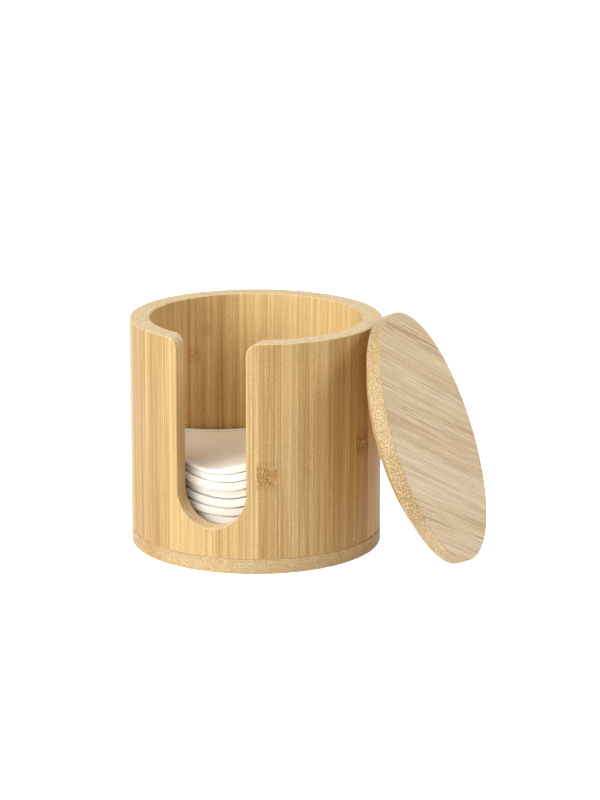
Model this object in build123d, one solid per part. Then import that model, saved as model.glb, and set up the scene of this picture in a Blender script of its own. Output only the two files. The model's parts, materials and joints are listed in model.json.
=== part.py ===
from build123d import *
import math
import os

# Round bamboo box for cosmetic pads, with its lid taken off and leaning on the wall.
# Millimetres. The origin is the centre of the underside, +Z is up, and the finger slot
# faces -Y. The lid leans on the +X side.

# Box
outer_diameter = 100.0
wall_thickness = 8.0
tube_height = 85.5
base_thickness = 6.0
rim_easing = 0.5
foot_easing = 0.5
seam_easing = 0.35

# Finger slot down the front of the wall
slot_width = 28.5
slot_bottom_height = 17.5
slot_corner_radius = 4.5

# Lid: a face board a little wider than the box, and a smaller locating disc glued under it
lid_overhang = 0.6
lid_thickness = 6.0
lid_easing = 0.8
locator_depth = 4.2
locator_clearance = 0.6
locator_easing = 0.4

# How the lid stands beside the box
lid_lean_deg = 21.1
lid_turn_deg = 3.7
lid_rest_gap = 0.3

# Washable cloth pads: a cloth body and an overlocked edge each
pad_count = 10
pad_side_clearance = 2.5
pad_thickness = 2.9
pad_gap = 0.3
pad_fan_deg = 0.3
pad_high_side_deg = -65.0
pad_shuffle = 1.0
pad_shuffle_step_deg = 137.5
cloth_shoulder_width = 10.0
cloth_rim_thickness = 2.1
edging_width = 2.4
edging_rim_thickness = 1.2

outer_radius = outer_diameter / 2
bore_radius = outer_radius - wall_thickness
rim_height = base_thickness + tube_height
lid_radius = outer_radius + lid_overhang
locator_radius = bore_radius - locator_clearance
pad_radius = bore_radius - pad_side_clearance
cloth_radius = pad_radius - edging_width

lean = math.radians(lid_lean_deg)
turn = math.radians(lid_turn_deg)


def circle_edges_at(part, height):
    """Whole or part circles of a turned piece that lie level at one height."""
    circles = part.edges().filter_by(GeomType.CIRCLE)
    return circles.filter_by_position(Axis.Z, height, height)


def make_tube():
    """Wall of the box, with the slot cut down its front and every hand edge eased."""
    with BuildPart() as tube:
        with BuildSketch(Plane.XY.offset(base_thickness)):
            Circle(outer_radius)
            Circle(bore_radius, mode=Mode.SUBTRACT)
        extrude(amount=tube_height)

        slot_centre_height = slot_bottom_height + slot_width / 2
        slot_rise = rim_height - slot_centre_height
        with BuildSketch(Plane.XZ):
            with Locations((0, slot_centre_height)):
                Circle(slot_width / 2)
                Rectangle(slot_width, slot_rise, align=(Align.CENTER, Align.MIN))
        extrude(amount=outer_diameter, mode=Mode.SUBTRACT)

        mouth_corners = tube.edges().filter_by(Axis.Y).group_by(Axis.Z)[-1]
        fillet(mouth_corners, slot_corner_radius)

        level_rim = circle_edges_at(tube.part, rim_height)
        slot_reach = slot_width / 2 + slot_corner_radius
        slot_edges = (
            tube.edges()
            .filter_by_position(Axis.Y, -outer_radius, 0)
            .filter_by_position(Axis.X, -slot_reach, slot_reach)
            .filter_by_position(Axis.Z, base_thickness, rim_height, inclusive=(False, False))
        )
        slot_edges -= tube.edges().filter_by(Axis.Y)
        fillet(level_rim + slot_edges, rim_easing)

        seam = circle_edges_at(tube.part, base_thickness).sort_by(SortBy.RADIUS)[-1]
        chamfer(seam, seam_easing)
    return tube.part


def make_base():
    """Floor of the box, a disc as wide as the wall and glued under it."""
    with BuildPart() as base:
        Cylinder(outer_radius, base_thickness, align=(Align.CENTER, Align.CENTER, Align.MIN))
        fillet(circle_edges_at(base.part, 0), foot_easing)
        chamfer(circle_edges_at(base.part, base_thickness), seam_easing)
    return base.part


def make_lid_face():
    """Face board of the lid. Its show face is level at height 0, facing up."""
    with BuildPart() as board:
        Cylinder(lid_radius, lid_thickness, align=(Align.CENTER, Align.CENTER, Align.MAX))
        fillet(board.edges().filter_by(GeomType.CIRCLE), lid_easing)
    return board.part


def make_lid_locator():
    """Smaller disc under the face board, which drops into the bore of the box."""
    lowest = -lid_thickness - locator_depth
    with BuildPart() as disc:
        with Locations((0, 0, -lid_thickness)):
            Cylinder(locator_radius, locator_depth, align=(Align.CENTER, Align.CENTER, Align.MAX))
        fillet(circle_edges_at(disc.part, lowest), locator_easing)
    return disc.part


def lid_place():
    """Lid standing on its edge, with the locator or the face board leaning on the wall."""
    face_height = (
        (lid_radius - lid_easing) * math.cos(lean)
        + (lid_thickness - lid_easing) * math.sin(lean)
        + lid_easing
    )

    def reach_to_wall(radius, depth):
        """How far a disc's back comes towards the wall, no higher up than the rim."""
        edge_height = face_height + radius * math.cos(lean) - depth * math.sin(lean)
        touch_height = min(edge_height, rim_height)
        return (depth + (touch_height - face_height) * math.sin(lean)) / math.cos(lean)

    reach = max(
        reach_to_wall(locator_radius, lid_thickness + locator_depth),
        reach_to_wall(lid_radius, lid_thickness),
    )
    away = Vector(math.cos(turn), math.sin(turn), 0)
    across = Vector(-math.sin(turn), math.cos(turn), 0)
    touch = Vector(outer_radius + lid_rest_gap, 0, 0)
    centre = touch + away * reach + Vector(0, 0, face_height)
    facing = away * math.cos(lean) + Vector(0, 0, math.sin(lean))
    return Plane(origin=centre, x_dir=across, z_dir=facing).location


def make_pad_cloth():
    """Two layers of cloth as one flat cushion, full in the middle and drawn in at the rim."""
    full = pad_thickness / 2
    rim = cloth_rim_thickness / 2
    shoulder = cloth_radius - cloth_shoulder_width
    with BuildPart() as cloth:
        with BuildSketch(Plane.XZ):
            with BuildLine():
                top = Line((0, full), (shoulder, full))
                drop = TangentArc(top @ 1, (cloth_radius, rim), tangent=top % 1)
                Line(drop @ 1, (cloth_radius, -rim))
                bottom = Line((0, -full), (shoulder, -full))
                TangentArc(bottom @ 1, (cloth_radius, -rim), tangent=bottom % 1)
                Line(top @ 0, bottom @ 0)
            make_face()
        revolve(axis=Axis.Z)
    return cloth.part


def make_pad_edging():
    """Overlock stitching round the rim of the cloth, as one bead of thread that thins outwards."""
    inner = cloth_rim_thickness / 2
    outer = edging_rim_thickness / 2
    with BuildPart() as bead:
        with BuildSketch(Plane.XZ):
            with BuildLine():
                Polyline(
                    (cloth_radius, inner),
                    (pad_radius, outer),
                    (pad_radius, -outer),
                    (cloth_radius, -inner),
                    close=True,
                )
            make_face()
        revolve(axis=Axis.Z)
    return bead.part


def pad_place(index):
    """Place of one pad: the pile fans up at the front, and no two pads lie quite in line."""
    tilt = math.radians(pad_fan_deg * index)
    high_side = math.radians(pad_high_side_deg)
    shuffle = math.radians(pad_shuffle_step_deg * index)
    height = base_thickness + pad_gap + pad_thickness / 2 + index * (pad_thickness + pad_gap)
    centre = (pad_shuffle * math.cos(shuffle), pad_shuffle * math.sin(shuffle), height)
    level = Vector(math.cos(high_side), math.sin(high_side), 0)
    uphill = level * math.cos(tilt) + Vector(0, 0, math.sin(tilt))
    normal = Vector(0, 0, math.cos(tilt)) - level * math.sin(tilt)
    return Plane(origin=centre, x_dir=uphill, z_dir=normal).location


def build_pieces():
    """Every piece of the object in its place, by name."""
    pieces = {
        "box_wall": make_tube(),
        "box_base": make_base(),
        "lid_face": lid_place() * make_lid_face(),
        "lid_locator": lid_place() * make_lid_locator(),
    }
    for index in range(pad_count):
        place = pad_place(index)
        pieces[f"pad_{index + 1:02d}_cloth"] = place * make_pad_cloth()
        pieces[f"pad_{index + 1:02d}_edging"] = place * make_pad_edging()
    return pieces


os.makedirs("parts", exist_ok=True)
for name, piece in build_pieces().items():
    piece.label = name
    export_step(piece, f"parts/{name}.step")
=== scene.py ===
import json
import math

import bpy
from mathutils import Matrix, Vector

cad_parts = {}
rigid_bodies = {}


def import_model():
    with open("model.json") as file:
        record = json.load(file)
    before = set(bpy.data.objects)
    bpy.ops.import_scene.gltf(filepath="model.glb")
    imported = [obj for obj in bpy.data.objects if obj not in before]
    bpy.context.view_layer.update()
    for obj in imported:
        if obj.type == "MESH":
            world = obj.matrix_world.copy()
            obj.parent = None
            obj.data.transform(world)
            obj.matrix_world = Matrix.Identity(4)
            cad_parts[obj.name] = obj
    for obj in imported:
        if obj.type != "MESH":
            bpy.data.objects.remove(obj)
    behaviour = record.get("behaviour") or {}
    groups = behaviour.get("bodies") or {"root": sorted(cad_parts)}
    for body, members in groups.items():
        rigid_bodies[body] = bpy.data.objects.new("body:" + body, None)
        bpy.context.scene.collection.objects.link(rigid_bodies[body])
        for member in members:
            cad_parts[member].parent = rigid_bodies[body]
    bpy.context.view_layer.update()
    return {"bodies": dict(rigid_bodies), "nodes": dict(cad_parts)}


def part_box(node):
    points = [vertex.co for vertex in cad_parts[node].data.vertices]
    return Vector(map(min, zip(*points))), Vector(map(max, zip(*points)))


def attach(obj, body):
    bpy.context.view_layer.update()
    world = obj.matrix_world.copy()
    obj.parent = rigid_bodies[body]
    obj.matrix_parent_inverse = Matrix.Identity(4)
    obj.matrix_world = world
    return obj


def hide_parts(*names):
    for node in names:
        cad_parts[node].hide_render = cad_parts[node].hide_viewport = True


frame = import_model()

MM = 0.001

# Sizes that the frame gives
OUTER_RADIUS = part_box("box_wall")[1].x
BASE_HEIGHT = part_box("box_base")[1].z

# Camera, measured from the middle of the box's foot
CAMERA_AZIMUTH = 21.25
CAMERA_ELEVATION = 17.18
CAMERA_DISTANCE = 1.142
CAMERA_AIM = Vector((0.0112, 0.0203, 0.0531))
CAMERA_ROLL = 0.15
CAMERA_LENS = 126.9
CAMERA_SENSOR = 36

# Lid: how it leans, and which way its grain and the base's run
LID_LEAN = math.radians(21.1)
LID_TURN = math.radians(3.7)
LID_GRAIN = math.radians(-26.0)
BASE_GRAIN = math.radians(-60.0)


def linear(colour):
    """sRGB hex to the linear values that shaders take."""
    channels = [int(colour[i : i + 2], 16) / 255 for i in (1, 3, 5)]
    return [c / 12.92 if c <= 0.04045 else ((c + 0.055) / 1.055) ** 2.4 for c in channels] + [1]


def add(tree, kind, inputs, **settings):
    """One node, its settings and what its sockets hold or are linked to."""
    node = tree.nodes.new(kind)
    for name, value in settings.items():
        setattr(node, name, value)
    for socket, value in inputs.items():
        if isinstance(value, bpy.types.NodeSocket):
            tree.links.new(value, node.inputs[socket])
        else:
            node.inputs[socket].default_value = value
    return node


def new_material(name):
    """An empty node material and its tree."""
    material = bpy.data.materials.new(name)
    material.use_nodes = True
    material.node_tree.nodes.clear()
    return material, material.node_tree


def finish_material(tree, shader):
    add(tree, "ShaderNodeOutputMaterial", {"Surface": shader.outputs["BSDF"]})


# Marks in bamboo: width across the grain and length along it in millimetres, then the two values
# of their noise between which they fade in. Real fibre bundles are about 0.15 mm wide, too fine
# to show, so they are drawn about 0.4 mm wide, as coarse as they need to be.
LONG_FIBRES = (0.38, 90, 0.48, 0.66)
SHORT_FIBRES = (0.36, 6, 0.48, 0.66)
LID_LONG_FIBRES = (0.38, 60, 0.48, 0.66)
LID_SHORT_FIBRES = (0.36, 25, 0.48, 0.66)
FIBRE_PATCHES = (5, 18, 0.35, 0.65)
GRIT = (0.4, 1.3, 0.40, 0.70)
BROAD_BANDS = (2.2, 160, 0.3, 0.7)
PALE_STREAKS = (0.8, 90, 0.52, 0.72)
BURNT_DASHES = (0.6, 2.2, 0.42, 0.60)
PALE_FLECKS = (0.7, 1.5, 0.58, 0.70)
DARK_DOTS = (0.8, 1.1, 0.60, 0.70)

# How far the fibres wander from side to side, in patches of which width and length, and how far
# apart their cut ends are. Real ends are 0.3 to 0.5 mm apart, drawn coarser so that they show.
WANDER = 0.8
SWAY_WIDTH = 7
SWAY_LENGTH = 30
END_PITCH = 0.7

# Strips: their width, how far on the pattern starts in the next one at most, how lined the
# plainest is, and the step from seed to seed of the staves
STRIP_WIDTH = 6 * MM
STRIP_SHIFT = 40
STRIP_LEAST_LINED = 0.35
SEED_STEP = 0.381966

# Growth nodes: millimetres over which their sides fade, and the share of their height that is full
NODE_EDGE = 0.4
NODE_CORE = 0.4


def wall_axes(tree):
    """Across, depth and along for a wall of upright staves: round the box, outwards and up."""
    place = add(tree, "ShaderNodeTexCoord", {}).outputs["Object"]
    xyz = add(tree, "ShaderNodeSeparateXYZ", {"Vector": place}).outputs
    bearing = add(
        tree, "ShaderNodeMath", {0: xyz["Y"], 1: xyz["X"]}, operation="ARCTAN2"
    ).outputs[0]
    across = add(tree, "ShaderNodeMath", {0: bearing, 1: OUTER_RADIUS}, operation="MULTIPLY")
    flat = add(tree, "ShaderNodeCombineXYZ", {"X": xyz["X"], "Y": xyz["Y"]}).outputs[0]
    depth = add(tree, "ShaderNodeVectorMath", {0: flat}, operation="LENGTH")
    return across.outputs[0], depth.outputs["Value"], xyz["Z"]


def board_axes(*directions):
    """The same three for a flat board, from its own directions."""

    def axes(tree):
        place = add(tree, "ShaderNodeTexCoord", {}).outputs["Object"]
        return [
            add(
                tree, "ShaderNodeVectorMath", {0: place, 1: direction}, operation="DOT_PRODUCT"
            ).outputs["Value"]
            for direction in directions
        ]

    return axes


def staves(tree, across):
    """Tone, line strength and seed of each stave of the wall, by its bearing round the box. Some
    of the tones hold painted shade.
    """
    turn = 2 * math.pi * OUTER_RADIUS
    share = add(
        tree, "ShaderNodeMath", {0: across, 1: 1 / turn, 2: 0.5}, operation="MULTIPLY_ADD"
    ).outputs[0]
    ramp = add(tree, "ShaderNodeValToRGB", {"Fac": share})
    ramp.color_ramp.interpolation = "CONSTANT"
    stops = ramp.color_ramp.elements
    for index, (bearing, tone, lines) in enumerate(WALL_STAVES_AND_PAINTED_SHADE):
        place = (bearing + 180) / 360
        stop = stops[index] if index < 2 else stops.new(place)
        stop.position = place
        stop.color = (tone, lines, (index * SEED_STEP) % 1, 1)
    return ramp.outputs["Color"]


def random_strips(tree, across):
    """Tone, line strength and seed of each strip of an edge-glued board, at random."""
    place = add(
        tree, "ShaderNodeMath", {0: across, 1: 1 / STRIP_WIDTH}, operation="MULTIPLY"
    ).outputs[0]
    return add(
        tree,
        "ShaderNodeTexVoronoi",
        {"W": place, "Scale": 1.0, "Randomness": 0.8},
        voronoi_dimensions="1D",
    ).outputs["Color"]


def node_marks(tree, across, along, marks):
    """Where the staves' growth nodes are: their strength in each patch, which ends at its stave's
    edges, else 0."""
    here = add(tree, "ShaderNodeCombineXYZ", {"X": across, "Y": along}).outputs[0]
    marked = 0.0
    for bearing, height, half_width, half_height, strength in marks:
        middle = (math.radians(bearing) * OUTER_RADIUS, height * MM, 0)
        away = add(
            tree, "ShaderNodeVectorMath", {0: here, 1: middle}, operation="SUBTRACT"
        ).outputs[0]
        away = add(tree, "ShaderNodeVectorMath", {0: away}, operation="ABSOLUTE").outputs[0]
        # Sockets 6 to 10 are the vector, the two ends it goes between and what it becomes there
        inside = add(
            tree,
            "ShaderNodeMapRange",
            {
                6: away,
                7: ((half_width - NODE_EDGE) * MM, NODE_CORE * half_height * MM, 0),
                8: (half_width * MM, half_height * MM, 1),
                9: (strength, 1, 1),
                10: (0, 0, 0),
            },
            data_type="FLOAT_VECTOR",
            interpolation_type="SMOOTHSTEP",
        ).outputs["Vector"]
        inside = add(tree, "ShaderNodeSeparateXYZ", {"Vector": inside}).outputs
        inside = add(
            tree, "ShaderNodeMath", {0: inside["X"], 1: inside["Y"]}, operation="MULTIPLY"
        ).outputs[0]
        marked = add(
            tree, "ShaderNodeMath", {0: marked, 1: inside}, operation="MAXIMUM"
        ).outputs[0]
    return marked


def bamboo(name, axes_of, grain, strips_of, look, marks=()):
    """Laminated bamboo, sanded and thinly oiled: strips of slightly different tone, with fine
    brown fibre bundles that run along the grain and show as dots where the grain ends."""
    material, tree = new_material(name)
    across, depth, along = axes_of(tree)
    strips = strips_of(tree, across)
    chance = add(tree, "ShaderNodeSeparateColor", {"Color": strips}).outputs
    shift = add(
        tree, "ShaderNodeVectorMath", {0: strips, 1: (0, 0, STRIP_SHIFT)}, operation="MULTIPLY"
    ).outputs[0]

    def stretched(spot, width, length):
        """A spot in units of a feature's width and length, moved on from strip to strip."""
        size = (1 / (width * MM), 1 / (width * MM), 1 / (length * MM))
        return add(
            tree, "ShaderNodeVectorMath", {0: spot, 1: size, 2: shift}, operation="MULTIPLY_ADD"
        ).outputs[0]

    # The fibres wander a little from side to side
    straight = add(
        tree, "ShaderNodeCombineXYZ", {"X": across, "Y": depth, "Z": along}
    ).outputs[0]
    sway = add(
        tree,
        "ShaderNodeTexNoise",
        {"Vector": stretched(straight, SWAY_WIDTH, SWAY_LENGTH), "Scale": 1.0, "Detail": 1.0},
    ).outputs["Fac"]
    wander = add(
        tree, "ShaderNodeMath", {0: sway, 1: WANDER * MM, 2: across}, operation="MULTIPLY_ADD"
    ).outputs[0]
    place = add(tree, "ShaderNodeCombineXYZ", {"X": wander, "Y": depth, "Z": along}).outputs[0]

    def streaks(mark, first=0.0, last=1.0):
        """Marks along the grain: the first value where their noise is low, and the last where
        it is high."""
        width, length, low, high = mark
        pattern = add(
            tree,
            "ShaderNodeTexNoise",
            {"Vector": stretched(place, width, length), "Scale": 1.0, "Detail": 1.0},
        ).outputs["Fac"]
        return add(
            tree,
            "ShaderNodeMapRange",
            {
                "Value": pattern,
                "From Min": low,
                "From Max": high,
                "To Min": first,
                "To Max": last,
            },
            interpolation_type="SMOOTHSTEP",
        ).outputs["Result"]

    def painted(colour, *layers):
        """A colour with layers over it, each a strength and a colour."""
        for strength, layer in layers:
            colour = add(
                tree,
                "ShaderNodeMix",
                {"Factor": strength, 6: colour, 7: layer},
                data_type="RGBA",
            ).outputs[2]
        return colour

    # Fibres along the grain: long lines, short dashes that come in patches, and fine grit
    lines = streaks(look["lines"], last=look["line"])
    dashes = streaks(look["dashes"], last=look["dash"])
    patches = streaks(FIBRE_PATCHES, first=0.4)
    dashes = add(tree, "ShaderNodeMath", {0: dashes, 1: patches}, operation="MULTIPLY").outputs[0]
    fibres = add(tree, "ShaderNodeMath", {0: lines, 1: dashes}, operation="MAXIMUM").outputs[0]
    grit = streaks(GRIT, last=look["grit"])
    fibres = add(tree, "ShaderNodeMath", {0: fibres, 1: grit}, operation="ADD").outputs[0]
    lined = add(
        tree, "ShaderNodeMath", {0: chance["Green"], 1: STRIP_LEAST_LINED}, operation="ADD"
    ).outputs[0]
    fibres = add(tree, "ShaderNodeMath", {0: fibres, 1: lined}, operation="MULTIPLY").outputs[0]

    # Colour along the grain: the strip's own tone with broad bands, pale streaks, then the fibres
    broad = streaks(BROAD_BANDS)
    tone = add(
        tree, "ShaderNodeMix", {"Factor": look["band"], "A": chance["Red"], "B": broad}
    ).outputs[0]
    along_grain = painted(
        linear(look["pale"]),
        (tone, linear(look["honey"])),
        (streaks(PALE_STREAKS, last=look["streak"]), linear(look["light"])),
        (fibres, linear(look["fibre"])),
    )

    # Across the grain the fibre bundles are cut through, and show as dots
    bundles = add(
        tree,
        "ShaderNodeTexVoronoi",
        {"Vector": stretched(place, END_PITCH, END_PITCH), "Scale": 1.0, "Randomness": 0.9},
        voronoi_dimensions="2D",
    ).outputs["Distance"]
    dots = add(
        tree,
        "ShaderNodeMapRange",
        {
            "Value": bundles,
            "From Min": 0.12,
            "From Max": 0.55,
            "To Min": look["dot"],
            "To Max": 0.0,
        },
        interpolation_type="SMOOTHSTEP",
    ).outputs["Result"]
    across_grain = painted(
        linear(look["end"]), (broad, linear(look["end_deep"])), (dots, linear(look["end_dot"]))
    )

    # How squarely the surface cuts the grain
    normal = add(tree, "ShaderNodeTexCoord", {}).outputs["Normal"]
    cut = add(
        tree, "ShaderNodeVectorMath", {0: normal, 1: grain}, operation="DOT_PRODUCT"
    ).outputs["Value"]
    cut = add(tree, "ShaderNodeMath", {0: cut}, operation="ABSOLUTE").outputs[0]
    end_grain = add(
        tree,
        "ShaderNodeMapRange",
        {"Value": cut, "From Min": 0.3, "From Max": 0.75},
        interpolation_type="SMOOTHSTEP",
    ).outputs["Result"]
    colour = painted(along_grain, (end_grain, across_grain))
    relief = add(tree, "ShaderNodeMix", {"Factor": end_grain, "A": fibres, "B": dots}).outputs[0]

    # Growth nodes: patches of short brown dashes, with pale flecks and dark dots
    if marks:
        patch = painted(
            colour,
            (streaks(BURNT_DASHES, first=0.2, last=0.85), linear(look["burnt"])),
            (streaks(PALE_FLECKS, last=0.35), linear(look["light"])),
            (streaks(DARK_DOTS, last=0.8), linear(look["scar"])),
        )
        colour = painted(colour, (node_marks(tree, across, along, marks), patch))

    # Sanded wood under a thin coat of oil: open fibres just felt, and a satin shine
    bump = add(
        tree,
        "ShaderNodeBump",
        {"Height": relief, "Strength": 0.35, "Distance": 0.05 * MM},
        invert=True,
    ).outputs["Normal"]
    shader = add(
        tree,
        "ShaderNodeBsdfPrincipled",
        {
            "Base Color": colour,
            "Roughness": streaks(BROAD_BANDS, first=0.45, last=0.55),
            "IOR": 1.5,
            "Specular IOR Level": 0.35,
            "Normal": bump,
        },
    )
    finish_material(tree, shader)
    return material


# Staves of the wall: bearing where each starts, its tone from pale to honey, how lined it is.
# The tones differ from stave to stave as real staves do, and some also hold painted shade: the
# darker tones from -146 to -116.5 offset the strong key lamp on the left, and the darker tones
# from -33.2 to -10.8 paint the lid's shadow on the wall deeper than the lamps make it.
WALL_STAVES_AND_PAINTED_SHADE = [
    (-180, 0.60, 0.4), (-165, 0.75, 0.3), (-146, 0.93, 0.3), (-140, 0.92, 0.25),
    (-136.5, 0.97, 0.3), (-127.5, 0.92, 0.3), (-121.3, 0.93, 0.6), (-116.5, 0.88, 0.4),
    (-112, 0.48, 0.2), (-106.8, 0.46, 0.3), (-97, 0.50, 0.4), (-88, 0.64, 0.4),
    (-80, 0.58, 0.4), (-73.6, 0.60, 0.4), (-68.8, 1.00, 0.7), (-59.3, 0.70, 0.5),
    (-54.2, 0.68, 0.4), (-48.5, 0.72, 0.6), (-39.8, 0.68, 0.5), (-33.2, 0.90, 0.5),
    (-20.5, 1.00, 0.6), (-10.8, 0.85, 0.6), (-7.4, 0.18, 0.5), (12, 0.30, 0.5),
    (30, 0.10, 0.4), (57, 0.00, 0.3), (66, 0.08, 0.3), (98, 0.00, 0.4),
    (109, 0.00, 0.3), (120.6, 0.34, 0.5), (129, 0.61, 0.6), (147, 0.60, 0.55),
]

# Growth nodes of the staves: bearing, then height, half width and half height in millimetres,
# and strength
WALL_NODES = [
    (-64.1, 39.0, 4.2, 6.8, 0.85), (-12.0, 47.0, 4.6, 7.0, 0.9), (148.5, 67.3, 4.2, 4.5, 0.6),
    (140.5, 77.5, 3.0, 4.2, 0.4), (103.5, 30.0, 4.8, 6.5, 0.8), (36.0, 58.0, 4.2, 6.5, 0.8),
    (-170.0, 24.0, 4.0, 6.5, 0.8),
]

# Turned and sanded bamboo staves: warm honey tones that change from stave to stave, with upright
# brown lines, and a paler rim full of small brown dots. A strip's tone goes from pale to honey.
WALL_LOOK = {
    "pale": "#F5D798", "honey": "#B69159", "light": "#F6DFAE", "fibre": "#976323",
    "end": "#EAD3A8", "end_deep": "#E0C595", "end_dot": "#A87D44",
    "burnt": "#A2702B", "scar": "#582F0F",
    "lines": LONG_FIBRES, "line": 0.48, "dashes": SHORT_FIBRES, "dash": 0.30, "grit": 0.22,
    "band": 0.25, "streak": 0.38, "dot": 0.5,
}

# Sanded bamboo board of the base: dotted end grain at two sides of its edge, plain lines between
BOARD_LOOK = WALL_LOOK | {
    "pale": "#D4BD93", "honey": "#BC935B", "end": "#D7C094", "end_deep": "#CEB282",
    "end_dot": "#9D7138",
}

# Sanded bamboo board of the lid, left pale: soft brown lines in rows, and a well dotted edge
LID_LOOK = WALL_LOOK | {
    "pale": "#EED9B3", "honey": "#DBBD91", "light": "#F3E4BF", "fibre": "#9B6E3B",
    "end": "#D2BC91", "end_deep": "#CAAE7F", "end_dot": "#9E743F",
    "lines": LID_LONG_FIBRES, "line": 0.56, "dashes": LID_SHORT_FIBRES, "dash": 0.45,
    "grit": 0.2, "band": 0.6, "streak": 0.55, "dot": 0.9,
}

# Sanded bamboo board of the locating disc: a little redder and darker than the lid above it
LOCATOR_LOOK = WALL_LOOK | {
    "pale": "#E6C68F", "honey": "#D2A86C", "light": "#EED7A6", "fibre": "#9B6A34",
    "end": "#BD9C66", "end_deep": "#B4915B", "end_dot": "#876036",
}

upright = Vector((0, 0, 1))
base_grain = Vector((math.cos(BASE_GRAIN), math.sin(BASE_GRAIN), 0))
base_strips = Vector((-math.sin(BASE_GRAIN), math.cos(BASE_GRAIN), 0))
lid_away = Vector((math.cos(LID_TURN), math.sin(LID_TURN), 0))
lid_across = Vector((-math.sin(LID_TURN), math.cos(LID_TURN), 0))
lid_normal = lid_away * math.cos(LID_LEAN) + upright * math.sin(LID_LEAN)
lid_up = lid_normal.cross(lid_across)
lid_grain = lid_across * math.cos(LID_GRAIN) + lid_up * math.sin(LID_GRAIN)
lid_strips = lid_normal.cross(lid_grain)
base_axes = board_axes(base_strips, upright, base_grain)
lid_axes = board_axes(lid_strips, lid_normal, lid_grain)

BAMBOO_PIECES = {
    "box_wall": ("sanded_bamboo_staves", wall_axes, upright, staves, WALL_LOOK, WALL_NODES),
    "box_base": ("sanded_bamboo_base", base_axes, base_grain, random_strips, BOARD_LOOK),
    "lid_face": ("sanded_bamboo_lid", lid_axes, lid_grain, random_strips, LID_LOOK),
    "lid_locator": ("sanded_bamboo_locator", lid_axes, lid_grain, random_strips, LOCATOR_LOOK),
}
for node_name, recipe in BAMBOO_PIECES.items():
    frame["nodes"][node_name].material_slots[0].material = bamboo(*recipe)


def cotton(name, look):
    """White cotton, matt and a little fuzzy, that lets some light through its fibres."""
    material, tree = new_material(name)
    place = add(tree, "ShaderNodeTexCoord", {}).outputs["Object"]
    fuzz = add(
        tree,
        "ShaderNodeTexNoise",
        {"Vector": place, "Scale": 1 / (look["fuzz"] * MM), "Detail": 4.0},
    ).outputs["Fac"]
    cloud = add(
        tree,
        "ShaderNodeTexNoise",
        {"Vector": place, "Scale": 1 / (look["cloud"] * MM), "Detail": 2.0},
    ).outputs["Fac"]
    colour = add(
        tree,
        "ShaderNodeMix",
        {"Factor": cloud, 6: linear(look["deep"]), 7: linear(look["pale"])},
        data_type="RGBA",
    ).outputs[2]
    bump = add(
        tree,
        "ShaderNodeBump",
        {"Height": fuzz, "Strength": 0.5, "Distance": look["nap"] * MM},
    ).outputs["Normal"]
    shader = add(
        tree,
        "ShaderNodeBsdfPrincipled",
        {
            "Base Color": colour,
            "Roughness": 0.95,
            "Specular IOR Level": 0.2,
            "Sheen Weight": look["sheen"],
            "Sheen Roughness": 0.5,
            "Subsurface Weight": 0.5,
            "Subsurface Radius": (1.0, 1.0, 1.0),
            "Subsurface Scale": 1.5 * MM,
            "Normal": bump,
        },
    )
    finish_material(tree, shader)
    return material


# Cotton fleece, brushed: natural cream, matt and soft, with tiny tufts. The tufts are drawn
# 1.1 mm apart, about twice as coarse as real ones, so that they show. Sizes are in millimetres.
FLEECE_LOOK = {
    "deep": "#F1E2CB", "pale": "#F7ECD9", "fuzz": 1.1, "cloud": 6, "nap": 0.25, "sheen": 0.25,
}

# Spun cotton thread, overlocked: whiter than the cloth and smoother, in plies 0.6 mm long
THREAD_LOOK = {
    "deep": "#F2EDE4", "pale": "#F8F5EF", "fuzz": 0.6, "cloud": 2, "nap": 0.12, "sheen": 0.2,
}

# Pads, as the frame has them: ten in a pile. Sizes are in millimetres, bearings in degrees.
PAD_NAMES = sorted(name for name in frame["bodies"] if name.startswith("pad_"))
PAD_PITCH = 3.2
PAD_HALF = 1.45
PAD_RADIUS = 39.5
PAD_FULLEST = 3.2
PAD_APART = 0.03
PAD_TURN = 137.5
CLOTH_RADIUS = 37.1

# The pile stands just off the floor and fans up at the front
PILE_FOOT = BASE_HEIGHT / MM + 0.15
PILE_FAN = 0.3
PILE_HIGH_SIDE = -65.0

# Beside the slot the pads curl up from a dip, the upper ones more, by a rise per square degree
SLOT_BEARING = -90
SLOT_REACH = 28
SLOT_FADE = 30
DIP_BEARING = -87
DIP_HEIGHT = 0.3
CURL_LEFT = 0.0045
CURL_RIGHT = 0.010
CURL_MOST = 3.3
CURL_LAYERS = 5.5

# The top pads are pressed down left of the slot, and wave at the back: rise, bearing and width
PRESS_DEPTH = 2.6
PRESS_BEARING = -100
PRESS_FADE = 24
BACK_WAVES = [(1.9, 162, 12), (-1.5, 125, 22)]
BACK_LAYERS = 3

# Where two pads part at the rim: the pads below, then bearing, width and gap
PARTINGS = {
    6: (-128, 12, 0.8), 7: (-124, 16, 1.5), 8: (-128, 10, 0.7), 9: (-126, 14, 1.1),
    3: (20, 25, 0.8), 5: (160, 25, 0.9), 4: (-122, 12, 0.6),
}


def smooth_step(value):
    value = min(1.0, max(0.0, value))
    return value * value * (3 - 2 * value)


def bell(angle, middle, width):
    """A smooth hump round a bearing, in degrees."""
    away = (angle - middle + 180) % 360 - 180
    return math.exp(-((away / width) ** 2))


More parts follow.
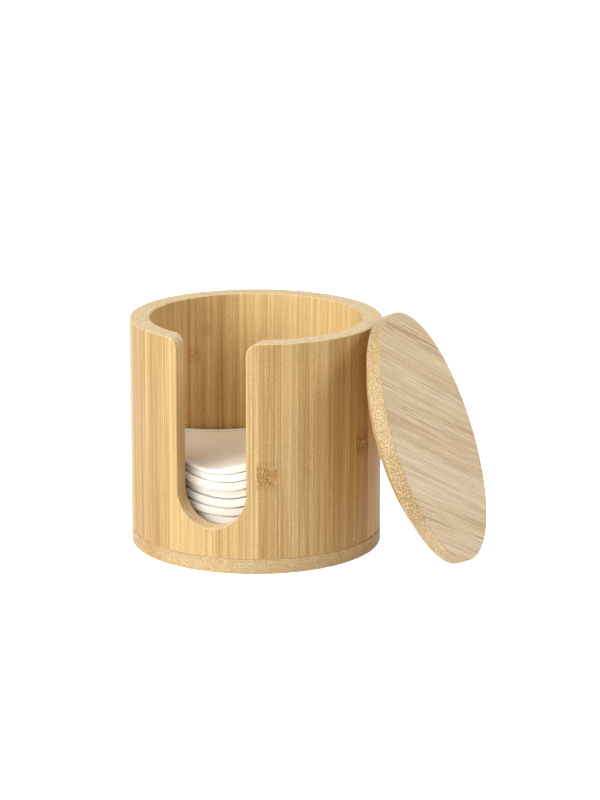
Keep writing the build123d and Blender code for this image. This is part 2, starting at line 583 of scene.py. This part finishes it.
def layer_height(layer, x, y):
    """Height in millimetres of the face between two pads, with that many pads below it: the pile
    fans up at the front, curls up beside the slot and is pressed down in its top corner."""
    bearing = math.degrees(math.atan2(y, x))
    out = min(1.0, math.hypot(x, y) / PAD_RADIUS)
    high_side = math.radians(PILE_HIGH_SIDE)
    uphill = x * math.cos(high_side) + y * math.sin(high_side)
    fan = math.radians(PILE_FAN * (layer - 0.5)) if layer else 0
    height = PILE_FOOT + PAD_PITCH * layer + math.tan(fan) * uphill

    beside_slot = smooth_step(1 - (abs(bearing - SLOT_BEARING) - SLOT_REACH) / SLOT_FADE)
    off_dip = bearing - DIP_BEARING
    curl = DIP_HEIGHT + off_dip**2 * (CURL_LEFT if off_dip < 0 else CURL_RIGHT)
    curled = smooth_step((layer - 0.5) / CURL_LAYERS)
    height += curled * out**3 * beside_slot * min(CURL_MOST, curl)

    pads_above = len(PAD_NAMES) - layer
    pressed = 1 - smooth_step((bearing - PRESS_BEARING) / PRESS_FADE)
    height -= PRESS_DEPTH * math.exp(-pads_above) * out**2 * beside_slot * pressed
    back = sum(rise * bell(bearing, middle, width) for rise, middle, width in BACK_WAVES)
    return height + math.exp(-pads_above / BACK_LAYERS) * out**3 * back


def parting(layer, x, y):
    """How far a pad's rim hangs away from the pad above it, in millimetres."""
    bearing = math.degrees(math.atan2(y, x))
    out = min(1.0, math.hypot(x, y) / PAD_RADIUS)
    middle, width, gap = PARTINGS.get(layer, (0, 1, 0))
    return gap * out**6 * bell(bearing, middle, width)


def settle(piece, index):
    """Lays a pad's piece, made flat at the origin, in its place in the pile."""
    low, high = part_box(PAD_NAMES[index] + "_edging")
    middle = (low + high) / 2
    for point in piece.data.vertices:
        x, y = point.co.x + middle.x, point.co.y + middle.y
        lower = layer_height(index, x / MM, y / MM)
        upper = layer_height(index + 1, x / MM, y / MM) - parting(index + 1, x / MM, y / MM)
        thick = min(upper - lower - PAD_APART, PAD_FULLEST)
        share = 0.5 + 0.5 * max(-1.0, min(1.0, point.co.z / (PAD_HALF * MM)))
        point.co = (x, y, (lower + PAD_APART / 2 + thick * share) * MM)


def deselect():
    bpy.ops.object.select_all(action="DESELECT")


def apply_modifiers(piece):
    for modifier in list(piece.modifiers):
        bpy.ops.object.modifier_apply(modifier=modifier.name)


# Cushion of each pad. Cloth is worked out ten times as large, near the size it is meant for.
CLOTH_SCALE = 10
SEWN_INSET = 0.2
SEWN_THICKNESS = 2.3
SEWN_EDGE = 0.9
CLOTH_GRID = 1.5
PUFF_MOST = 0.32
PUFF_PRESSURE = 4
PUFF_FRAMES = 20


def sewn_cushion():
    """One pad's cloth, flat at the origin: two layers of fleece, puffed between their stitches."""
    deselect()
    bpy.ops.mesh.primitive_cylinder_add(
        vertices=96,
        radius=(CLOTH_RADIUS - SEWN_INSET) * MM * CLOTH_SCALE,
        depth=SEWN_THICKNESS * MM * CLOTH_SCALE,
    )
    cushion = bpy.context.object
    bpy.ops.object.mode_set(mode="EDIT")
    bpy.ops.mesh.select_all(action="SELECT")
    bpy.ops.mesh.bevel(offset=SEWN_EDGE * MM * CLOTH_SCALE, segments=3, affect="EDGES")
    bpy.ops.object.mode_set(mode="OBJECT")
    remesh = cushion.modifiers.new("even_mesh", "REMESH")
    remesh.mode = "VOXEL"
    remesh.voxel_size = CLOTH_GRID * MM * CLOTH_SCALE
    apply_modifiers(cushion)
    puff(cushion, PUFF_MOST * MM * CLOTH_SCALE)
    subdivide = cushion.modifiers.new("smooth", "SUBSURF")
    subdivide.levels = subdivide.render_levels = 1
    apply_modifiers(cushion)
    cushion.scale = (1 / CLOTH_SCALE, 1 / CLOTH_SCALE, 1 / CLOTH_SCALE)
    bpy.ops.object.transform_apply(location=True, rotation=True, scale=True)
    bpy.ops.object.shade_smooth()
    return cushion


def puff(cushion, farthest):
    """Blows the cloth up against its stitches, and keeps each point near where it was."""
    before = [point.co.copy() for point in cushion.data.vertices]
    cloth = cushion.modifiers.new("puff", "CLOTH")
    cloth.settings.use_pressure = True
    cloth.settings.uniform_pressure_force = PUFF_PRESSURE
    cloth.settings.effector_weights.gravity = 0
    cloth.point_cache.frame_start = 1
    cloth.point_cache.frame_end = PUFF_FRAMES
    for step in range(1, PUFF_FRAMES + 1):
        bpy.context.scene.frame_set(step)
    apply_modifiers(cushion)
    for point, start in zip(cushion.data.vertices, before):
        move = point.co - start
        if move.length > farthest:
            point.co = start + move * (farthest / move.length)


# Overlocking round each pad, in millimetres: threads side by side, with grooves between them
THREADS = 198
RIM_MIDDLE = 37.9
RIM_WIDTH = 3.2
RIM_THICKNESS = 2.86
RIM_ROUNDING = 0.32
THREAD_GROOVE = 0.1


def overlocked_rim():
    """The overlocking round one pad's rim, flat at the origin: a bead of threads side by side."""
    deselect()
    bpy.ops.mesh.primitive_plane_add(
        size=1, location=(RIM_MIDDLE * MM, 0, 0), rotation=(math.pi / 2, 0, 0)
    )
    rim = bpy.context.object
    rim.scale = (RIM_WIDTH * MM, RIM_THICKNESS * MM, 1)
    bpy.ops.object.transform_apply(location=True, rotation=True, scale=True)
    bpy.ops.object.mode_set(mode="EDIT")
    bpy.ops.mesh.select_all(action="SELECT")
    bpy.ops.mesh.bevel(offset=RIM_ROUNDING * MM, segments=3, affect="VERTICES")
    bpy.ops.mesh.select_all(action="SELECT")
    bpy.ops.mesh.delete(type="ONLY_FACE")
    bpy.ops.mesh.select_all(action="SELECT")
    bpy.ops.mesh.spin(steps=2 * THREADS, angle=2 * math.pi, center=(0, 0, 0), axis=(0, 0, 1))
    bpy.ops.mesh.select_all(action="SELECT")
    bpy.ops.mesh.remove_doubles(threshold=0.01 * MM)
    bpy.ops.mesh.normals_make_consistent(inside=False)
    bpy.ops.mesh.select_all(action="DESELECT")
    bpy.ops.object.mode_set(mode="OBJECT")
    for point in rim.data.vertices:
        half_threads = math.atan2(point.co.y, point.co.x) / math.pi * THREADS
        point.select = round(half_threads) % 2 == 0
    bpy.ops.object.mode_set(mode="EDIT")
    bpy.ops.mesh.select_mode(type="VERT")
    bpy.ops.transform.shrink_fatten(value=-THREAD_GROOVE * MM)
    bpy.ops.object.mode_set(mode="OBJECT")
    bpy.ops.object.shade_smooth()
    return rim


def copy_of(model, name):
    piece = model.copy()
    piece.data = model.data.copy()
    piece.name = piece.data.name = name
    bpy.context.scene.collection.objects.link(piece)
    return piece


def make_pads():
    """Ten pads, each a copy of one cushion and one rim, turned so that no two lie alike."""
    fleece = cotton("brushed_cotton_fleece", FLEECE_LOOK)
    thread = cotton("cotton_overlock_thread", THREAD_LOOK)
    models = [
        ("fleece", "cloth", "pad_cloth", sewn_cushion(), fleece),
        ("overlock", "edging", "pad_thread", overlocked_rim(), thread),
    ]
    for kind, node, slot, model, material in models:
        for index, body in enumerate(PAD_NAMES):
            piece = copy_of(model, f"{body}_{kind}")
            piece.data.materials.clear()
            piece.data.materials.append(material)
            piece.data.transform(Matrix.Rotation(math.radians(PAD_TURN * index), 4, "Z"))
            settle(piece, index)
            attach(piece, body)
            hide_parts(f"{body}_{node}")
        bpy.data.objects.remove(model)


def seen_directly(tree):
    """1 for what the camera sees, also in a reflection or through something clear, else 0."""
    path = add(tree, "ShaderNodeLightPath", {}).outputs
    seen = add(
        tree,
        "ShaderNodeMath",
        {0: path["Is Camera Ray"], 1: path["Is Glossy Ray"]},
        operation="MAXIMUM",
    ).outputs[0]
    return add(
        tree, "ShaderNodeMath", {0: seen, 1: path["Is Transmission Ray"]}, operation="MAXIMUM"
    ).outputs[0]


# Stage: white paper, four soft boxes and dim surroundings. Lengths are in metres.
PAPER_RADIUS = 3.0
PAPER_DROP = 0.02 * MM
PAPER_GLOW = 0.96
LAMP_AIM = Vector((0.02, 0, 0.045))
LAMP_DISTANCE = 1.2
LAMP_SIZE = 0.6
LAMP_COLOUR = "#FFFFFF"
ROOM_LIGHT = 0.05
WHITE = (1, 1, 1, 1)

# Each lamp's bearing, elevation and watts
LAMPS = {
    "key_left": (-130, 40, 6.5),
    "front_low": (-110, 15, 7.5),
    "top": (-90, 75, 4.5),
    "fill_right": (10, 35, 6.5),
}


def paper():
    """Smooth white paper: matt, pure white to the eye and in reflections, with the object's
    soft shadow on it."""
    material, tree = new_material("white_paper_sweep")
    matt = add(tree, "ShaderNodeBsdfDiffuse", {"Color": linear("#F6F6F6")}).outputs[0]
    glow = add(tree, "ShaderNodeEmission", {"Color": WHITE, "Strength": PAPER_GLOW}).outputs[0]
    both = add(tree, "ShaderNodeAddShader", {0: matt, 1: glow}).outputs[0]
    mixed = add(tree, "ShaderNodeMixShader", {"Fac": seen_directly(tree), 1: matt, 2: both})
    add(tree, "ShaderNodeOutputMaterial", {"Surface": mixed.outputs[0]})
    return material


def make_floor():
    """A wide sheet of paper under the object."""
    deselect()
    bpy.ops.mesh.primitive_circle_add(
        vertices=96, radius=PAPER_RADIUS, fill_type="NGON", location=(0, 0, -PAPER_DROP)
    )
    floor = bpy.context.object
    floor.name = "paper_floor"
    floor.data.materials.append(paper())


def make_light(name, bearing, elevation, watts):
    """A square soft box aimed at the middle of the object."""
    turn, rise = math.radians(bearing), math.radians(elevation)
    way = Vector(
        (math.cos(turn) * math.cos(rise), math.sin(turn) * math.cos(rise), math.sin(rise))
    )
    data = bpy.data.lights.new(name, "AREA")
    data.shape = "SQUARE"
    data.size = LAMP_SIZE
    data.energy = watts
    data.color = linear(LAMP_COLOUR)[:3]
    light = bpy.data.objects.new(name, data)
    light.location = LAMP_AIM + way * LAMP_DISTANCE
    light.rotation_euler = (-way).to_track_quat("-Z", "Y").to_euler()
    bpy.context.scene.collection.objects.link(light)


def make_world():
    """Even white surroundings: full white to the eye, dimmer as light on the object."""
    world = bpy.data.worlds.new("white_room")
    world.use_nodes = True
    tree = world.node_tree
    tree.nodes.clear()
    strength = add(
        tree, "ShaderNodeMix", {"Factor": seen_directly(tree), "A": ROOM_LIGHT, "B": 1.0}
    ).outputs[0]
    sky = add(tree, "ShaderNodeBackground", {"Color": WHITE, "Strength": strength})
    add(tree, "ShaderNodeOutputWorld", {"Surface": sky.outputs[0]})
    bpy.context.scene.world = world


def make_camera():
    """The photograph's viewpoint."""
    turn, rise = math.radians(CAMERA_AZIMUTH), math.radians(CAMERA_ELEVATION)
    data = bpy.data.cameras.new("photo_camera")
    data.lens = CAMERA_LENS
    data.sensor_width = CAMERA_SENSOR
    camera = bpy.data.objects.new("photo_camera", data)
    way = Vector(
        (math.sin(turn) * math.cos(rise), -math.cos(turn) * math.cos(rise), math.sin(rise))
    )
    camera.location = way * CAMERA_DISTANCE
    look = (CAMERA_AIM - camera.location).to_track_quat("-Z", "Y")
    roll = Matrix.Rotation(math.radians(CAMERA_ROLL), 3, "Z")
    camera.rotation_euler = (look.to_matrix() @ roll).to_euler()
    bpy.context.scene.collection.objects.link(camera)
    bpy.context.scene.camera = camera


make_pads()
make_floor()
for lamp_name, lamp in LAMPS.items():
    make_light(lamp_name, *lamp)
make_world()
make_camera()
bpy.context.scene.view_settings.view_transform = "Standard"
